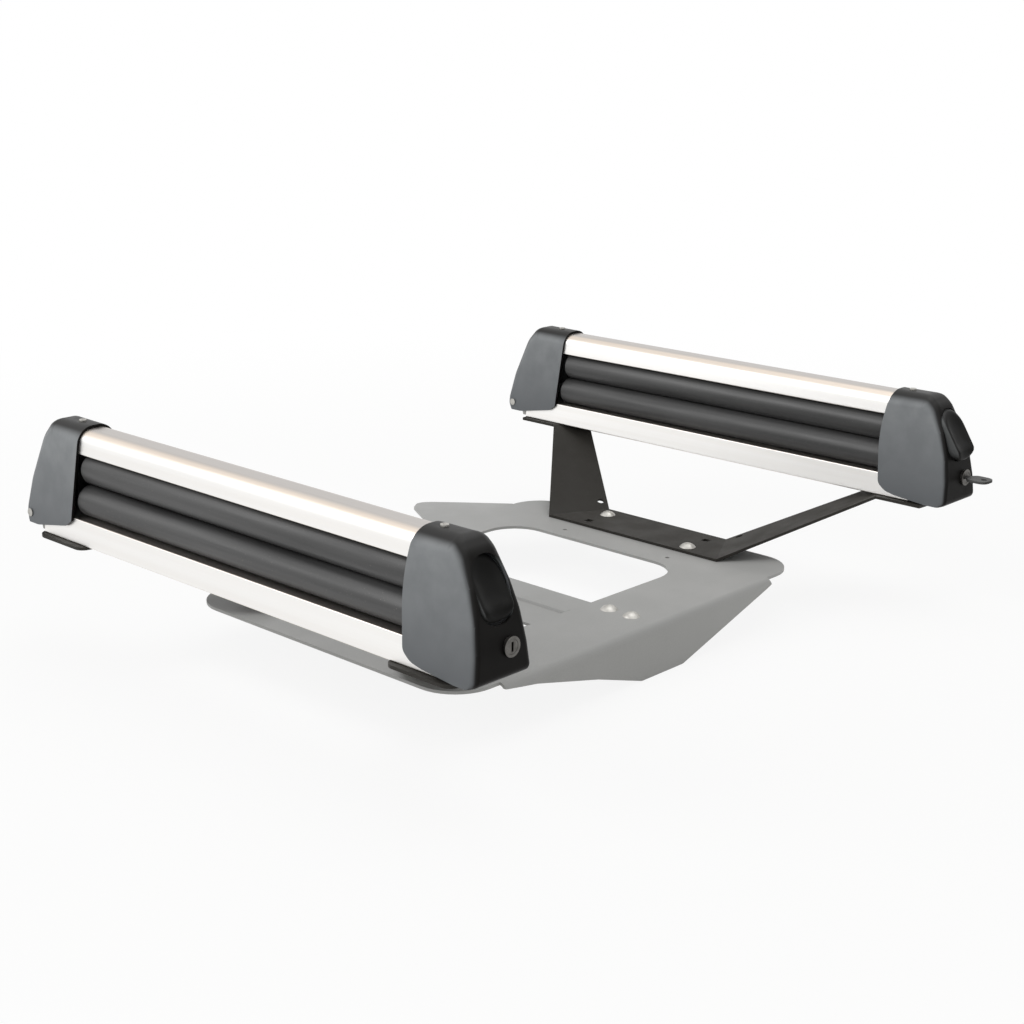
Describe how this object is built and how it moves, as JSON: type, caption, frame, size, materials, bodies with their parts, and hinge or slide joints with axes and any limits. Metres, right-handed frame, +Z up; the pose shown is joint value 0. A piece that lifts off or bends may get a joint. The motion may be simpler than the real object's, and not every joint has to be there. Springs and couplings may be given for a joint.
{
  "type": "ski rack stand",
  "caption": "Ski rack stand: a folded grey base plate with sloping brackets that carry locking, rubber-padded ski carrier bars with hinged upper arms.",
  "frame": {"origin": "middle of the stand, in the plane of the flanges' straight lower edges on which it rests", "axes": "+X towards the lock ends of the rack bars, +Y towards the rear bar, +Z up"},
  "size_m": [0.6445, 0.7588, 0.2317],
  "materials": {
    "base_grey": "satin grey powder coat",
    "bracket_black": "fine textured anthracite powder coat",
    "bar_aluminium": "satin anodised",
    "pad_rubber": "dull, finely dusty",
    "cap_plastic": "satin moulded",
    "button_plastic": "satin moulded",
    "cast_zinc": "cast zinc",
    "lock_steel": "turned steel",
    "key_plastic": "dark grey key bow",
    "fastener_steel": "zinc plated"
  },
  "bodies": {
    "stand": {"base_plate": "base_grey", "cross_beam": "base_grey", "rear_bracket": "bracket_black", "front_bracket": "bracket_black", "bracket_bolts": "fastener_steel", "bracket_washers": "fastener_steel", "bracket_nuts": "fastener_steel", "beam_bolts": "fastener_steel", "beam_washers": "fastener_steel", "beam_nuts": "fastener_steel", "rear_lower_bar": "bar_aluminium", "rear_lower_pad": "pad_rubber", "rear_hinge_block": "cast_zinc", "rear_strike": "cast_zinc", "rear_t_bolts": "fastener_steel", "rear_t_nuts": "fastener_steel", "front_lower_bar": "bar_aluminium", "front_lower_pad": "pad_rubber", "front_hinge_block": "cast_zinc", "front_strike": "cast_zinc", "front_t_bolts": "fastener_steel", "front_t_nuts": "fastener_steel"},
    "rear_arm": {"rear_upper_bar": "bar_aluminium", "rear_upper_pad": "pad_rubber", "rear_hinge_cap": "cap_plastic", "rear_lock_cap": "cap_plastic", "rear_cap_screws": "fastener_steel", "rear_hinge_pin": "fastener_steel", "rear_hook_pin": "fastener_steel", "rear_lock_housing": "cast_zinc", "rear_button_spring": "fastener_steel"},
    "rear_button_body": {"rear_button": "button_plastic"},
    "rear_hook_body": {"rear_latch_hook": "cast_zinc"},
    "rear_lock_barrel": {"rear_lock_plug": "lock_steel", "rear_lock_cam": "cast_zinc", "rear_key": "key_plastic"},
    "front_arm": {"front_upper_bar": "bar_aluminium", "front_upper_pad": "pad_rubber", "front_hinge_cap": "cap_plastic", "front_lock_cap": "cap_plastic", "front_cap_screws": "fastener_steel", "front_hinge_pin": "fastener_steel", "front_hook_pin": "fastener_steel", "front_lock_housing": "cast_zinc", "front_button_spring": "fastener_steel"},
    "front_button_body": {"front_button": "button_plastic"},
    "front_hook_body": {"front_latch_hook": "cast_zinc"},
    "front_lock_barrel": {"front_lock_plug": "lock_steel", "front_lock_cam": "cast_zinc"}
  },
  "joints": [
    {"name": "rear_arm_hinge", "type": "hinge", "parent": "stand", "child": "rear_arm", "pos_m": [-0.301, 0.34336, 0.13506], "axis": [0, -1, 0], "range_deg": [0, 65]},
    {"name": "rear_button_slide", "type": "slide", "parent": "rear_arm", "child": "rear_button_body", "axis": [1, 0, 0], "range_m": [-0.008, 0], "stiffness_N_per_m": 400, "springref_m": 0.004, "deforming": ["rear_button_spring"]},
    {"name": "rear_hook_turn", "type": "hinge", "parent": "rear_arm", "child": "rear_hook_body", "pos_m": [0.276, 0.32936, 0.16906], "axis": [0, 1, 0], "range_deg": [-20, 0]},
    {"name": "rear_lock_turn", "type": "hinge", "parent": "rear_arm", "child": "rear_lock_barrel", "pos_m": [0.306, 0.35136, 0.14606], "axis": [1, 0, 0], "range_deg": [-90, 0]},
    {"name": "front_arm_hinge", "type": "hinge", "parent": "stand", "child": "front_arm", "pos_m": [-0.301, -0.34336, 0.13506], "axis": [0, -1, 0], "range_deg": [0, 65]},
    {"name": "front_button_slide", "type": "slide", "parent": "front_arm", "child": "front_button_body", "axis": [1, 0, 0], "range_m": [0, 0.008], "deforming": ["front_button_spring"]},
    {"name": "front_hook_turn", "type": "hinge", "parent": "front_arm", "child": "front_hook_body", "pos_m": [0.276, -0.35736, 0.16906], "axis": [0, 1, 0], "range_deg": [0, 20]},
    {"name": "front_lock_turn", "type": "hinge", "parent": "front_arm", "child": "front_lock_barrel", "pos_m": [0.306, -0.33536, 0.14606], "axis": [1, 0, 0], "range_deg": [0, 90]}
  ],
  "couplings": [
    {"joint": "rear_hook_turn", "follows": "rear_button_slide", "rad_per_m": 43.596},
    {"joint": "front_hook_turn", "follows": "front_button_slide", "rad_per_m": 43.596}
  ]
}
